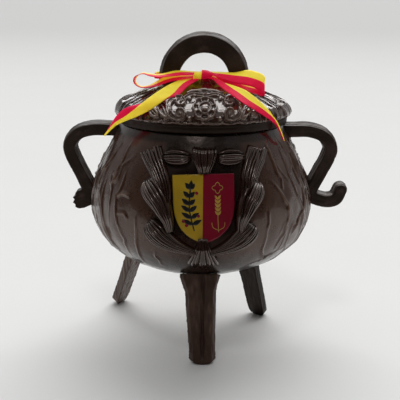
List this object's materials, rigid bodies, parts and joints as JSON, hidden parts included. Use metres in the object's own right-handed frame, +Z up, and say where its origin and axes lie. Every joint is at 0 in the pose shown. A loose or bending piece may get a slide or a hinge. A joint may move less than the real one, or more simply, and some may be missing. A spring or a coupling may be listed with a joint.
{
  "type": "chocolate cauldron",
  "caption": "Dark chocolate cauldron with a wreath and shield on its belly, scrolled side handles, a domed lid with a ring handle, cast feet and a two-colour ribbon bow.",
  "frame": {"origin": "middle of the bounding box in X and Y, on the ground that the feet stand on", "axes": "+Z up, -Y towards the front with the shield, +X towards the whole scrolled handle"},
  "size_m": [0.1412, 0.1114, 0.1529],
  "materials": {
    "chocolate": "glossy tempered dark chocolate",
    "plaque": "glazed sugar plaque, yellow and crimson halves",
    "ribbon": "woven satin, one half yellow and one half red"
  },
  "bodies": {
    "root": {"pot": "chocolate", "lid": "chocolate", "leg_front": "chocolate", "leg_right": "chocolate", "leg_left": "chocolate", "shield": "plaque", "ribbon_bow": "ribbon"}
  },
  "joints": []
}
